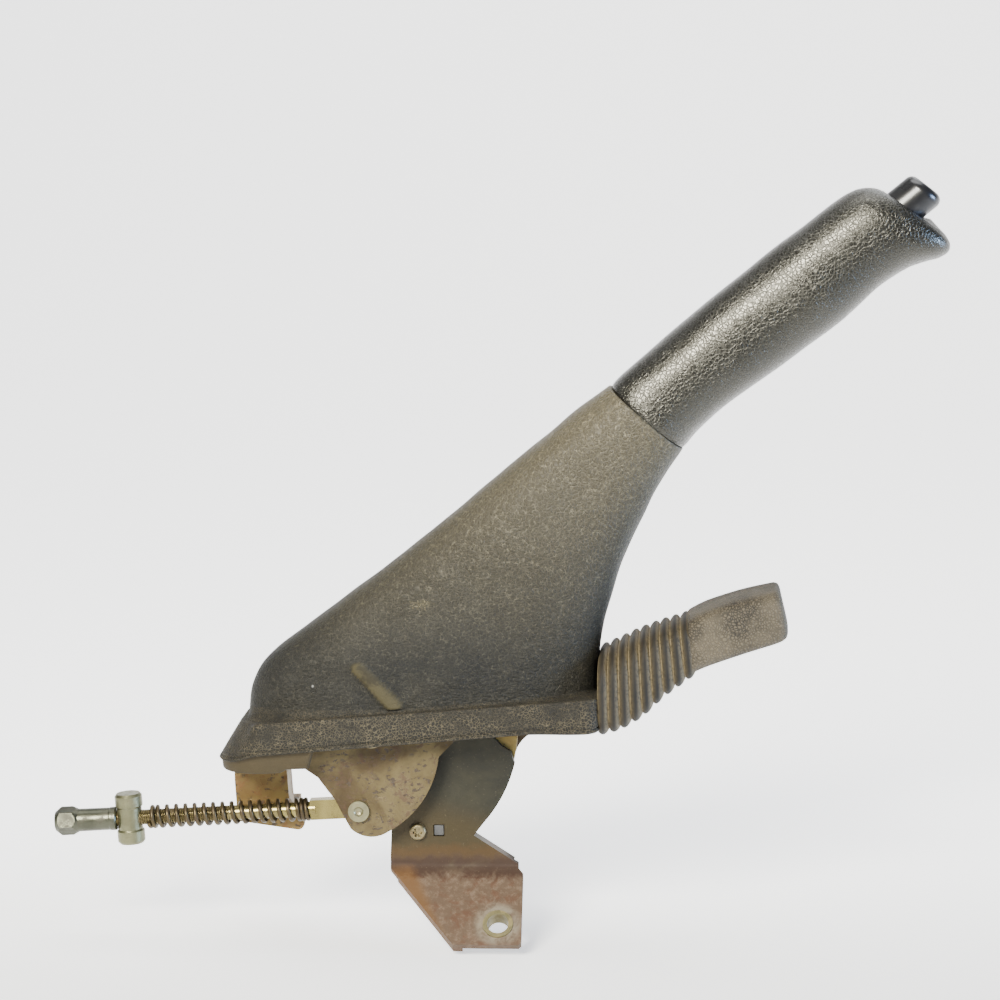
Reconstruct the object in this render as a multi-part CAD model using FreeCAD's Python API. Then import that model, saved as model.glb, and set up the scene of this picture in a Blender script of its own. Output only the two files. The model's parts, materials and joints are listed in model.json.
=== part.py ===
import FreeCAD, Part
import math
import os

V = FreeCAD.Vector

# Parking brake lever with its gaiter, ratchet bracket and cable pull rod. Millimetres.
# Work frame: origin on the lever's pivot axis, +X towards the grip, +Z up, lever mid-plane y = 0.
# Everything is moved at the end, so that the front foot's bolt hole is the origin.

# sheet thicknesses and where each sheet lies across the lever
BASE_SHEET = 3.0
BRACKET_Y = -1.5
SECTOR_Y = 1.5
LEVER_SHEET = 2.5
NEAR_PLATE_Y = -12.0
FAR_PLATE_Y = 9.5

# pivot
PIVOT_R = 5.0
PIVOT_HOLE_R = 5.05
PIVOT_HEAD_R = 5.3
HUB_R = 12.5
SPACER_R = 8.0

# lever axis: direction above horizontal, and its distance from the pivot
LEVER_ANGLE = 39.0
AXIS_OFFSET = 29.0
TUBE_R = 9.45
TUBE_WALL = 1.6
TUBE_START, TUBE_END = 78.0, 280.0

# bracket foot, bent towards the near side
FOOT_TILT = 45.0
FOOT_BEND_Z = -54.97
FOOT_BEND_R = 2.0
FOOT_LENGTH = 35.0
FOOT_LEFT, FOOT_RIGHT = 5.8, 57.2
FOOT_CORNER = 32.5
BRACKET_R = 57.8
FOOT_HOLE_X = 50.0
FOOT_HOLE_S = 25.7
BUSH_R, BOLT_HOLE_R = 6.0, 4.25
BUSH_PROUD, BUSH_BACK = 0.6, 6.5

# ratchet
SECTOR_R = 57.2
TOOTH_TIP_R, TOOTH_ROOT_R = 57.0, 55.2
TOOTH_COUNT, TOOTH_PITCH, FIRST_TOOTH = 10, 4.2, 42.0
PAWL_PIN = (48.0, 50.0)
PAWL_PIN_R = 3.0
PAWL_TIP_R, PAWL_TIP_ANGLE = 57.4, 38.0

# cable end
CLEVIS = (-5.4, -30.9)
CLEVIS_R = 3.0
ROD_Y = -5.0
ROD_SLOPE = 3.2
ROD_R = 3.0
ROD_LENGTH = 118.0
EYE_R, EYE_BAR, EYE_THICK, EYE_LENGTH = 6.5, 8.0, 5.0, 20.2
SPRING_WIRE, SPRING_MEAN_R = 1.4, 4.0
SPRING_END = 88.2
TRUNNION_AT, TRUNNION_R, TRUNNION_LENGTH = 93.7, 5.5, 20.4
NUT_START, NUT_END, NUT_SLEEVE_R, NUT_FLATS, NUT_HEX = 98.8, 123.8, 4.6, 10.0, 7.0

# release button
BUTTON_R, BUTTON_START, BUTTON_END = 8.0, 286.0, 303.9
BUTTON_TILT, BUTTON_EDGE = 13.0, 3.4
STEM_R, STEM_START = 4.0, 250.0
RELEASE_ROD_R = 2.5
BUSHING_LENGTH = 10.0
SEAT_AT = 224.0

# warning switch
SWITCH_SCREW = (17.0, -41.8)
SWITCH_BODY = (11.0, 31.0, -47.0, -36.0, 1.6, 8.9)
PLUNGER_X, PLUNGER_Y, PLUNGER_R = 24.0, 6.9, 1.5

# rubber
GAITER_WALL = 2.2
RUNNING = 0.05

UP = V(0, 0, 1)
ACROSS = V(0, 1, 0)
angle = math.radians(LEVER_ANGLE)
ALONG = V(math.cos(angle), 0, math.sin(angle))
NORMAL = V(-math.sin(angle), 0, math.cos(angle))


def on_lever(a, n, y=0.0):
    """Point a mm along the lever's direction and n mm above the line through the pivot."""
    return ALONG * a + NORMAL * n + V(0, y, 0)


def polar(r, degrees):
    return (r * math.cos(math.radians(degrees)), r * math.sin(math.radians(degrees)))


def sheet(outline, y, thick):
    """Flat sheet from an (x, z) outline. An entry of two points is an arc: (middle, end)."""
    edges, last = [], outline[0]
    for step in outline[1:] + [outline[0]]:
        a = V(last[0], y, last[1])
        if isinstance(step[0], tuple):
            mid, end = step
            edges.append(Part.Arc(a, V(mid[0], y, mid[1]), V(end[0], y, end[1])).toShape())
            last = end
        elif math.dist(last, step) > 1e-6:
            edges.append(Part.makeLine(a, V(step[0], y, step[1])))
            last = step
    return Part.Face(Part.Wire(edges)).extrude(V(0, thick, 0))


def disc(x, z, r, y0, y1):
    return Part.makeCylinder(r, y1 - y0, V(x, y0, z), ACROSS)


def rod(r, start, end):
    return Part.makeCylinder(r, (end - start).Length, start, end - start)


def pipe(outer, inner, start, end):
    return rod(outer, start, end).cut(rod(inner, start, end))


def box(x0, x1, y0, y1, z0, z1):
    return Part.makeBox(x1 - x0, y1 - y0, z1 - z0, V(x0, y0, z0))


def hexagon(flats, centre, direction, length, turn=0.0):
    """Hexagonal bar of the given width across flats."""
    r = flats / math.sqrt(3)
    corners = [V(r * math.cos(math.radians(60 * i + turn)), r * math.sin(math.radians(60 * i + turn)), 0)
               for i in range(6)]
    bar = Part.Face(Part.makePolygon(corners + corners[:1])).extrude(V(0, 0, length))
    bar.Placement = FreeCAD.Placement(centre, FreeCAD.Rotation(UP, direction))
    return bar


def ring_wire(rear, front, half, power, count=28):
    """Closed rounded outline across the lever: spans rear to front in the (x, z) plane, +-half in y."""
    middle = V((rear[0] + front[0]) / 2, 0, (rear[1] + front[1]) / 2)
    reach = V((front[0] - rear[0]) / 2, 0, (front[1] - rear[1]) / 2)
    points = []
    for i in range(count):
        t = 2 * math.pi * i / count
        c, s = math.cos(t), math.sin(t)
        c = math.copysign(abs(c) ** (2 / power), c)
        s = math.copysign(abs(s) ** (2 / power), s)
        points.append(middle + reach * c + V(0, half * s, 0))
    curve = Part.BSplineCurve()
    curve.interpolate(Points=points, PeriodicFlag=True)
    return Part.Wire(curve.toShape())


def inset(section, wall):
    rear, front, half, power = section
    span = math.dist(rear, front)
    dx, dz = (front[0] - rear[0]) / span * wall, (front[1] - rear[1]) / span * wall
    return ((rear[0] + dx, rear[1] + dz), (front[0] - dx, front[1] - dz), half - wall, power)


def loft(sections, ruled=False):
    return Part.makeLoft([ring_wire(*s) for s in sections], True, ruled)


def lift(section, x, z):
    rear, front, half, power = section
    return ((rear[0] + x, rear[1] + z), (front[0] + x, front[1] + z), half, power)


def coil(mean_r, wire, pitch, length, start, direction):
    """Spring wire swept along a helix."""
    helix = Part.makeHelix(pitch, length, mean_r)
    profile = Part.Wire(Part.makeCircle(wire / 2, V(mean_r, 0, 0), ACROSS))
    solid = Part.Wire(helix.Edges).makePipeShell([profile], True, True)
    solid.Placement = FreeCAD.Placement(start, FreeCAD.Rotation(UP, direction))
    return solid


def save(shape, node):
    moved = shape.copy()
    moved.translate(-FOOT_HOLE)
    moved.exportStep("parts/" + node + ".step")


# ---------------------------------------------------------------- bracket foot frame
tilt = math.radians(FOOT_TILT)
DOWN_FOOT = V(0, -math.sin(tilt), -math.cos(tilt))
OFF_FOOT = V(0, -math.cos(tilt), math.sin(tilt))
BEND_AXIS = V(0, BRACKET_Y - FOOT_BEND_R, FOOT_BEND_Z)
FOOT_TOP = BEND_AXIS + V(0, math.cos(tilt), -math.sin(tilt)) * FOOT_BEND_R
FOOT_HOLE = FOOT_TOP + DOWN_FOOT * FOOT_HOLE_S + V(FOOT_HOLE_X, 0, 0)


def foot_point(x, s, off=0.0):
    return FOOT_TOP + V(x, 0, 0) + DOWN_FOOT * s + OFF_FOOT * off


def foot_slab(outline, low, high):
    """Slab parallel to the foot, from an outline of (x, distance down the foot)."""
    points = [foot_point(x, s, low) for x, s in outline]
    return Part.Face(Part.makePolygon(points + points[:1])).extrude(OFF_FOOT * (high - low))


# ---------------------------------------------------------------- bracket
NOTCH_OUT, NOTCH_IN, NOTCH_END = 35.4, 26.0, -61.0
bracket = sheet([
    (54.6, -9.0), polar(BRACKET_R, -14),
    (polar(BRACKET_R, -28), polar(BRACKET_R, -41.3)), (39.4, -43.4), (FOOT_RIGHT, FOOT_BEND_Z),
    (FOOT_LEFT, FOOT_BEND_Z), (FOOT_LEFT, -52.0), (6.4, -39.5),
    polar(NOTCH_OUT, -80), (polar(NOTCH_OUT, -70), polar(NOTCH_OUT, NOTCH_END)),
    polar(NOTCH_IN, NOTCH_END), (polar(NOTCH_IN, -86), polar(NOTCH_IN, -112)),
    (-14.0, -7.0), (-30.0, -7.0), (-36.0, -12.0), (-47.0, -12.0), (-47.0, -4.0),
    (-10.8, 6.3), ((0.0, HUB_R), (10.8, 6.3)), (46.2, -1.8), (51.0, -6.9),
], BRACKET_Y, BASE_SHEET)
bend_face = Part.Face(Part.makePolygon([
    V(FOOT_LEFT, BRACKET_Y, FOOT_BEND_Z), V(FOOT_RIGHT, BRACKET_Y, FOOT_BEND_Z),
    V(FOOT_RIGHT, BRACKET_Y + BASE_SHEET, FOOT_BEND_Z),
    V(FOOT_LEFT, BRACKET_Y + BASE_SHEET, FOOT_BEND_Z), V(FOOT_LEFT, BRACKET_Y, FOOT_BEND_Z)]))
bend = bend_face.revolve(BEND_AXIS, V(1, 0, 0), -FOOT_TILT)
foot = foot_slab([(FOOT_LEFT, 0), (FOOT_RIGHT, 0), (59.2, 2.6), (59.5, FOOT_LENGTH - 1),
                  (58.5, FOOT_LENGTH), (FOOT_CORNER, FOOT_LENGTH), (FOOT_LEFT, 0.4)], -BASE_SHEET, 0)
FLANGE_DEPTH = 5.5
left_flange = foot_slab([(8.6, 3.8), (12.4, 3.8), (FOOT_CORNER + 3.8, FOOT_LENGTH),
                         (FOOT_CORNER, FOOT_LENGTH)],
                        -FLANGE_DEPTH, -BASE_SHEET)
edge_flange = sheet([(39.4, -43.4), (55.4, -53.8), (53.8, -56.2), (37.8, -45.8)],
                    BRACKET_Y + BASE_SHEET, 3.4)
bracket = bracket.fuse([bend, foot, left_flange, edge_flange]).removeSplitter()
bracket = bracket.cut(disc(0, 0, PIVOT_HOLE_R, -5, 5))
bracket = bracket.cut(disc(*SWITCH_SCREW, 2.1, -5, 5))
bracket = bracket.cut(box(23.2, 27.6, -5, 5, -43.8, -39.0))
bracket = bracket.cut(rod(BUSH_R + RUNNING, foot_point(FOOT_HOLE_X, FOOT_HOLE_S, -14),
                          foot_point(FOOT_HOLE_X, FOOT_HOLE_S, 6)))

foot_bush = pipe(BUSH_R, BOLT_HOLE_R, foot_point(FOOT_HOLE_X, FOOT_HOLE_S, -BUSH_BACK),
                 foot_point(FOOT_HOLE_X, FOOT_HOLE_S, BUSH_PROUD))

# ---------------------------------------------------------------- ratchet sector
outline = [polar(SECTOR_R, -45.5), (polar(SECTOR_R, 0), polar(SECTOR_R, FIRST_TOOTH - 0.4))]
for i in range(TOOTH_COUNT):
    start = FIRST_TOOTH + TOOTH_PITCH * i
    outline += [polar(TOOTH_TIP_R, start), polar(TOOTH_ROOT_R, start + 0.5),
                polar(TOOTH_ROOT_R, start + 1.4)]
outline += [polar(TOOTH_TIP_R, FIRST_TOOTH + TOOTH_PITCH * TOOTH_COUNT),
            (-6.0, 11.0), ((-12.5, 0.0), (-4.0, -11.8)), (8.5, -9.2)]
sector = sheet(outline, SECTOR_Y, BASE_SHEET).cut(disc(0, 0, PIVOT_HOLE_R, -5, 8))

# ---------------------------------------------------------------- rear leg
LEG_BACK = 13.0
leg = sheet([(-57.2, -11.0), (-47.0, -4.0), (-36.2, -4.0), (-36.2, -15.0), (-35.2, -30.0),
             (-29.6, -38.6), ((-29.8, -41.2), (-32.4, -42.2)), (-56.2, -38.8), (-57.2, -22.0)],
            SECTOR_Y, BASE_SHEET)
leg_flange = sheet([(-39.2, -15.0), (-36.2, -15.0), (-34.7, -38.6), (-37.7, -38.6)],
                   SECTOR_Y + BASE_SHEET, LEG_BACK - BASE_SHEET)
REAR_HOLE = V(-43.5, 21.0, -38.2)
leg_foot = box(-54.6, -34.8, SECTOR_Y + BASE_SHEET, 34.0, REAR_HOLE.z, REAR_HOLE.z + BASE_SHEET)
leg = leg.fuse([leg_flange, leg_foot]).removeSplitter()
leg = leg.cut(Part.makeCylinder(BOLT_HOLE_R, 10, REAR_HOLE - UP * 3, UP))

# ---------------------------------------------------------------- pivot
PLATE_OUT = FAR_PLATE_Y + LEVER_SHEET
pivot_bolt = disc(0, 0, PIVOT_R, -PLATE_OUT - 0.3, PLATE_OUT + 7.5)
pivot_bolt = pivot_bolt.fuse(disc(0, 0, PIVOT_HEAD_R, -PLATE_OUT - 1.5, -PLATE_OUT - 0.2))
pivot_nut = hexagon(15.0, V(0, PLATE_OUT + 0.3, 0), ACROSS, 5.4)
pivot_nut = pivot_nut.cut(disc(0, 0, PIVOT_R + 0.02, 0, 30))
spacer_near = pipe(SPACER_R, PIVOT_HOLE_R, V(0, NEAR_PLATE_Y + LEVER_SHEET + 0.1, 0),
                   V(0, BRACKET_Y, 0))
spacer_far = pipe(SPACER_R, PIVOT_HOLE_R, V(0, SECTOR_Y + BASE_SHEET, 0), V(0, FAR_PLATE_Y - 0.1, 0))

# ---------------------------------------------------------------- warning switch
x0, x1, z0, z1, y0, y1 = SWITCH_BODY
switch_body = box(x0, x1, y0, y1, z0, z1)
switch_body = switch_body.fuse(box(23.6, 27.2, BRACKET_Y + 0.3, y0, -43.4, -39.4))
switch_body = switch_body.cut(disc(*SWITCH_SCREW, 2.1, -2, 12))
switch_body = switch_body.cut(Part.makeCylinder(PLUNGER_R + RUNNING, 8, V(PLUNGER_X, PLUNGER_Y, z1 - 7), UP))
terminal = box(17.8, 24.1, 4.8, 5.6, z0 - 8.0, z0)
screw = disc(*SWITCH_SCREW, 2.0, BRACKET_Y, y1 - 1)
head = disc(*SWITCH_SCREW, 3.4, BRACKET_Y - 2.4, BRACKET_Y)
head = head.makeFillet(1.1, [e for e in head.Edges if abs(e.BoundBox.YMin - (BRACKET_Y - 2.4)) < 0.01
                             and e.BoundBox.XLength > 1])
screw = screw.fuse(head)
for turn in (0, 60, 120):
    lobe = box(-1.9, 1.9, -0.1, 1.5, -0.5, 0.5)
    lobe.rotate(V(0, 0, 0), ACROSS, turn)
    lobe.translate(V(SWITCH_SCREW[0], BRACKET_Y - 2.4, SWITCH_SCREW[1]))
    screw = screw.cut(lobe)
plunger = Part.makeCylinder(PLUNGER_R, 10.0, V(PLUNGER_X, PLUNGER_Y, z1 - 6.2), UP)

# ---------------------------------------------------------------- lever plates and tube
tube_top = on_lever(TUBE_START, AXIS_OFFSET + 9)
plate_end_top = on_lever(118, AXIS_OFFSET + 7)
plate_end_low = on_lever(118, AXIS_OFFSET - 9)
REAR_EDGE = [(plate_end_top.x, plate_end_top.z), (tube_top.x, tube_top.z), (-20.0, 22.0),
             (-32.0, 5.0), (-31.2, -8.2), (-26.8, -14.0), (-21.6, -17.6), (-17.8, -22.8),
             (-15.0, -26.4), (-11.8, -32.8), (-8.9, -38.2), ((-2.0, -41.5), (6.2, -39.4))]
near_plate = sheet([(plate_end_low.x, plate_end_low.z)] + REAR_EDGE + [
    ((20.5, -26.1), (26.6, -9.0)), (32.2, -3.4), (60.0, 24.4)], NEAR_PLATE_Y, LEVER_SHEET)
far_plate = sheet([(plate_end_low.x, plate_end_low.z)] + REAR_EDGE + [
    (20.0, -31.5), (28.0, -31.5), (53.6, -15.0), (55.6, -12.6),
    ((58.9, -6.4), (66.0, -2.6)), (78.0, 9.0), (81.0, 29.0)], FAR_PLATE_Y, LEVER_SHEET)
striker = box(20.0, 28.0, 5.0, FAR_PLATE_Y, -31.5, -29.5)
far_plate = far_plate.fuse(striker).removeSplitter()
for x, z, r in ((0, 0, PIVOT_HOLE_R), (*CLEVIS, CLEVIS_R + 0.02), (*PAWL_PIN, PAWL_PIN_R + 0.02)):
    drill = disc(x, z, r, -20, 20)
    near_plate = near_plate.cut(drill)
    far_plate = far_plate.cut(drill)
lever_tube = pipe(TUBE_R, TUBE_R - TUBE_WALL, on_lever(TUBE_START, AXIS_OFFSET),
                  on_lever(TUBE_END, AXIS_OFFSET))
channel_spacer = disc(64.0, 62.0, 4.0, -9.5, 9.5)

# ---------------------------------------------------------------- pins
clevis_pin = disc(*CLEVIS, CLEVIS_R, NEAR_PLATE_Y - 0.1, PLATE_OUT + 2.6)
pin_head = disc(*CLEVIS, 4.2, NEAR_PLATE_Y - 2.0, NEAR_PLATE_Y)
dimple = Part.makeSphere(2.4, V(CLEVIS[0], NEAR_PLATE_Y - 3.4, CLEVIS[1]))
clevis_pin = clevis_pin.fuse(pin_head).cut(dimple)
clevis_clip = disc(*CLEVIS, 5.6, PLATE_OUT + 0.1, PLATE_OUT + 1.3).cut(disc(*CLEVIS, CLEVIS_R + 0.02, 0, 30))
clevis_clip = clevis_clip.cut(box(CLEVIS[0] - 1.6, CLEVIS[0] + 1.6, 0, 30, CLEVIS[1] - 9, CLEVIS[1]))
pawl_pin = disc(*PAWL_PIN, PAWL_PIN_R, NEAR_PLATE_Y - 0.2, PLATE_OUT + 0.2)
pawl_pin = pawl_pin.fuse([disc(*PAWL_PIN, 4.5, NEAR_PLATE_Y - 1.4, NEAR_PLATE_Y - 0.1),
                          disc(*PAWL_PIN, 4.5, PLATE_OUT + 0.1, PLATE_OUT + 1.4)])

# ---------------------------------------------------------------- pawl
PAWL_Y, PAWL_THICK = -1.0, 5.4
tip = polar(PAWL_TIP_R, PAWL_TIP_ANGLE)
nose = sheet([tip, (tip[0] + 2.6, tip[1] + 1.6), (53.6, 47.0), (43.0, 48.0)], PAWL_Y, PAWL_THICK)
arm = sheet([(50.6, 53.6), (33.6, 67.6), (29.6, 64.4), (44.6, 45.6)], PAWL_Y, PAWL_THICK)
pawl = nose.fuse([arm, disc(*PAWL_PIN, 6.0, PAWL_Y, PAWL_Y + PAWL_THICK)]).removeSplitter()
pawl = pawl.cut(disc(*PAWL_PIN, PAWL_PIN_R + RUNNING, -20, 20))

# ---------------------------------------------------------------- release button, rod and spring
button = rod(BUTTON_R, on_lever(BUTTON_START, AXIS_OFFSET), on_lever(BUTTON_END + 5, AXIS_OFFSET))
tilt = math.radians(BUTTON_TILT)
beyond = Part.makeCylinder(30, 30, on_lever(BUTTON_END, AXIS_OFFSET),
                           ALONG * math.cos(tilt) + NORMAL * math.sin(tilt))
button = button.cut(beyond)
button = button.makeFillet(BUTTON_EDGE, [e for e in button.Edges
                                         if abs(e.CenterOfMass.dot(ALONG) - BUTTON_END) < 1.0])
stem = rod(STEM_R, on_lever(STEM_START, AXIS_OFFSET), on_lever(BUTTON_START + 1, AXIS_OFFSET))
collar = rod(5.5, on_lever(STEM_START, AXIS_OFFSET), on_lever(STEM_START + 2.5, AXIS_OFFSET))
button = button.fuse([stem, collar]).removeSplitter()
button = button.cut(rod(RELEASE_ROD_R + 0.02, on_lever(STEM_START - 1, AXIS_OFFSET),
                        on_lever(STEM_START + 8, AXIS_OFFSET)))
release_rod = rod(RELEASE_ROD_R, on_lever(70.6, AXIS_OFFSET), on_lever(STEM_START + 8, AXIS_OFFSET))
button_guide = pipe(TUBE_R - TUBE_WALL - 0.02, STEM_R + RUNNING,
                    on_lever(TUBE_END - BUSHING_LENGTH, AXIS_OFFSET), on_lever(TUBE_END, AXIS_OFFSET))
spring_seat = pipe(TUBE_R - TUBE_WALL - 0.02, RELEASE_ROD_R + 0.3,
                   on_lever(SEAT_AT, AXIS_OFFSET), on_lever(SEAT_AT + 2, AXIS_OFFSET))
release_spring = coil(4.6, 1.5, 4.4, STEM_START - SEAT_AT - 2 - 2.0,
                      on_lever(SEAT_AT + 3.0, AXIS_OFFSET), ALONG)

# ---------------------------------------------------------------- pull rod, spring, trunnion and nut
slope = math.radians(ROD_SLOPE)
REARWARD = V(-math.cos(slope), 0, -math.sin(slope))
ROD_UP = V(-math.sin(slope), 0, math.cos(slope))


def on_rod(distance, up=0.0):
    return V(CLEVIS[0], ROD_Y, CLEVIS[1]) + REARWARD * distance + ROD_UP * up


eye_points = [on_rod(0, -EYE_BAR / 2), on_rod(EYE_LENGTH, -EYE_BAR / 2),
              on_rod(EYE_LENGTH, EYE_BAR / 2), on_rod(0, EYE_BAR / 2)]
eye = Part.Face(Part.makePolygon(eye_points + eye_points[:1])).extrude(V(0, EYE_THICK, 0))
eye.translate(V(0, -EYE_THICK / 2, 0))
eye = eye.fuse([disc(*CLEVIS, EYE_R, ROD_Y - EYE_THICK / 2, ROD_Y + EYE_THICK / 2),
                rod(ROD_R, on_rod(EYE_LENGTH - 2), on_rod(ROD_LENGTH))]).removeSplitter()
pull_rod = eye.cut(disc(*CLEVIS, CLEVIS_R + RUNNING, -20, 20))

dead = 3.6
spring_dead = coil(SPRING_MEAN_R, SPRING_WIRE, SPRING_WIRE + 0.15, dead, on_rod(EYE_LENGTH + 0.7), REARWARD)
live_start = EYE_LENGTH + 0.7 + dead
spring_live = coil(SPRING_MEAN_R, SPRING_WIRE, 3.4, SPRING_END - 0.7 - live_start - 0.9,
                   on_rod(live_start + 0.9), REARWARD)
rod_spring = Part.makeCompound([spring_dead, spring_live])

spool = []
for up, r in ((-1.0, 0.86), (-0.9, 1.0), (-0.5, 1.0), (-0.42, 0.9), (0.42, 0.9), (0.5, 1.0), (0.9, 1.0),
              (1.0, 0.86)):
    spool.append(V(TRUNNION_R * r, 0, TRUNNION_LENGTH / 2 * up))
spool = [V(0, 0, spool[0].z)] + spool + [V(0, 0, spool[-1].z), V(0, 0, spool[0].z)]
trunnion = Part.Face(Part.makePolygon(spool)).revolve(V(0, 0, 0), UP, 360)
trunnion.Placement = FreeCAD.Placement(on_rod(TRUNNION_AT), FreeCAD.Rotation(UP, ROD_UP))
trunnion = trunnion.cut(rod(ROD_R + RUNNING, on_rod(80), on_rod(110)))

FLARE = 2.4
nut_profile = [V(0, 0, NUT_START), V(NUT_SLEEVE_R - 0.4, 0, NUT_START),
               V(NUT_SLEEVE_R + 0.1, 0, NUT_START + 0.5),
               V(NUT_SLEEVE_R + 0.1, 0, NUT_START + 2.6),
               V(NUT_SLEEVE_R - 0.1, 0, NUT_START + 3.0), V(NUT_SLEEVE_R, 0, NUT_END - NUT_HEX - FLARE),
               V(5.78, 0, NUT_END - NUT_HEX), V(5.78, 0, NUT_END - 2.4), V(3.9, 0, NUT_END), V(0, 0, NUT_END)]
nut_body = Part.Face(Part.makePolygon(nut_profile + nut_profile[:1])).revolve(V(0, 0, 0), UP, 360)
nut_hex = hexagon(NUT_FLATS, V(0, 0, NUT_START - 1), UP, NUT_END - NUT_START + 2, 15.0)
nut = nut_body.common(nut_hex)
nut.Placement = FreeCAD.Placement(V(CLEVIS[0], ROD_Y, CLEVIS[1]), FreeCAD.Rotation(UP, REARWARD))
nut = nut.cut(rod(ROD_R + RUNNING, on_rod(90), on_rod(130)))

# ---------------------------------------------------------------- gaiter
GAITER = [((-50.0, 5.0), (89.0, 4.0), 24.5, 3.4),
          ((-47.6, 20.0), (89.8, 26.0), 24.0, 3.2),
          ((-38.6, 32.6), (91.3, 41.0), 23.5, 3.0),
          ((-10.0, 54.0), (95.0, 55.0), 22.5, 2.8),
          ((20.0, 76.7), (99.5, 69.0), 21.0, 2.6),
          ((50.0, 101.8), (108.0, 87.0), 19.5, 2.5),
          ((76.0, 122.9), (116.0, 101.5), 18.5, 2.4),
          ((95.2, 135.2), (123.2, 112.4), 18.0, 2.3)]
outer = loft(GAITER)
hollow = [inset(s, GAITER_WALL) for s in GAITER]
hollow = [lift(hollow[0], -0.2, -3.0)] + hollow[1:-1] + [lift(hollow[-1], 0.65, 0.75)]
inner = loft(hollow)

# rim: plan outline cut to its side profile, then hollowed the same way
RIM_REAR, RIM_FRONT, RIM_HALF = -61.4, 90.6, 28.0
RIM_WALL = 3.4
RIM_SIDE = [(-61.4, -13.4), (-32.0, -12.4), (-24.6, -12.0), (-21.4, -3.6), (60.0, 3.5), (90.6, 3.7),
            (90.6, 17.6), (-43.0, 7.4), (-50.0, 7.0), (-60.6, -8.0), (-61.4, -10.0)]
RIM_CAVITY = [(-70.0, -30.0), (100.0, -30.0), (100.0, 14.6), (-42.0, 4.2), (-48.0, 3.4), (-57.4, -10.0),
              (-70.0, -10.0)]


def rim_plan(wall, z, rear_corner, front_corner):
    """Flat face of the rim's plan: rounded at the rear, nearly square where the bellows joins."""
    x0, x1, half = RIM_REAR + wall, RIM_FRONT - wall, RIM_HALF - wall
    edges, last = [], V(x0 + rear_corner, -half, z)
    first = last
    for x, y, r, turn in ((x1, -half, front_corner, 0), (x1, half, front_corner, 90),
                          (x0, half, rear_corner, 180), (x0, -half, rear_corner, 270)):
        centre = V(x - math.copysign(r, x - 10), y - math.copysign(r, y), z)
        start, mid, end = [centre + V(*polar(r, turn + k), 0) for k in (-90, -45, 0)]
        edges += [Part.makeLine(last, start)] if (start - last).Length > 1e-6 else []
        edges.append(Part.Arc(start, mid, end).toShape())
        last = end
    if (first - last).Length > 1e-6:
        edges.append(Part.makeLine(last, first))
    return Part.Face(Part.Wire(edges))


plan_out = rim_plan(0, -20, 19.0, 5.0).extrude(UP * 50)
plan_in = rim_plan(RIM_WALL, -40, 17.0, 4.0).extrude(UP * 90)
rim = plan_out.common(sheet(RIM_SIDE, -40, 80))
rim_hollow = plan_in.common(sheet(RIM_CAVITY, -40, 80))
gaiter = outer.fuse(rim.cut(rim_hollow)).cut(inner).cut(rim_hollow)

# bellows that closes the front of the boot
RIBS, RIB_PITCH = 9, 4.0
FOLD = 1.7
TOP = [(90.0, 31.0), (98.0, 34.6), (106.0, 38.6), (114.0, 41.8), (126.0, 46.0)]
LOW = [(90.0, -1.0), (98.0, 0.8), (106.0, 5.4), (114.0, 13.4), (126.0, 22.4)]


def along(track, x):
    for (xa, za), (xb, zb) in zip(track, track[1:]):
        if x <= xb:
            return za + (zb - za) * (x - xa) / (xb - xa)
    return track[-1][1]


def fold(x, depth):
    top, low = along(TOP, x), along(LOW, x)
    half = 26.5 - 9.0 * (x - 90) / 34
    lean = 0.1 * (x - 90) / 34
    return inset(((x, top), (x + lean * (top - low), low), half, 3.4), depth)


folds = []
for i in range(RIBS):
    x = 91.0 + RIB_PITCH * i
    folds += [fold(x, 0.0), fold(x + RIB_PITCH * 0.5, FOLD)]
bellows = loft(folds, True)
cavity = loft([fold(90.8, 3.6), fold(121.0, 3.6)], True)
PAD = [((124.0, 44.4), (125.8, 23.6), 15.6, 3.4), ((126.4, 46.8), (127.0, 24.4), 17.2, 4.2),
       ((133.4, 50.0), (133.6, 27.2), 17.4, 4.6), ((145.7, 54.0), (147.0, 31.8), 17.4, 4.8),
       ((157.6, 56.6), (161.0, 36.4), 17.2, 4.8), ((160.6, 55.4), (163.6, 38.8), 15.6, 3.6)]
pad = loft(PAD, True)
bellows = bellows.cut(cavity).fuse(pad)

# ---------------------------------------------------------------- grip
STATIONS = [(160.2, 46.4, 167.8, 9.9, 17.6, 2.3), (169, 47.4, 174, 11.4, 17.2, 2.3),
            (180, 48, 183, 12.2, 16.9, 2.4),
            (203, 48.2, 203, 11.6, 16.6, 2.4), (230, 48.2, 230, 10.2, 16.6, 2.4),
            (250, 48, 250, 9.9, 16.6, 2.4), (268, 47.8, 267, 10.8, 16.6, 2.4),
            (279, 46.8, 282, 8.8, 16.4, 2.5), (284.4, 44.0, 290.6, 5.2, 15.4, 2.5),
            (287.4, 41.2, 294.6, 5.4, 14.0, 2.5), (289.2, 38.4, 296.6, 9.0, 11.8, 2.4)]


def lever_section(a_top, n_top, a_low, n_low, half, power):
    top, low = on_lever(a_top, n_top), on_lever(a_low, n_low)
    return ((top.x, top.z), (low.x, low.z), half, power)


grip = loft([lever_section(*s) for s in STATIONS])
grip = grip.cut(rod(TUBE_R + RUNNING, on_lever(150, AXIS_OFFSET), on_lever(TUBE_END + 0.2, AXIS_OFFSET)))
grip = grip.cut(rod(BUTTON_R + 0.3, on_lever(TUBE_END - 1, AXIS_OFFSET), on_lever(320, AXIS_OFFSET)))

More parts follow.
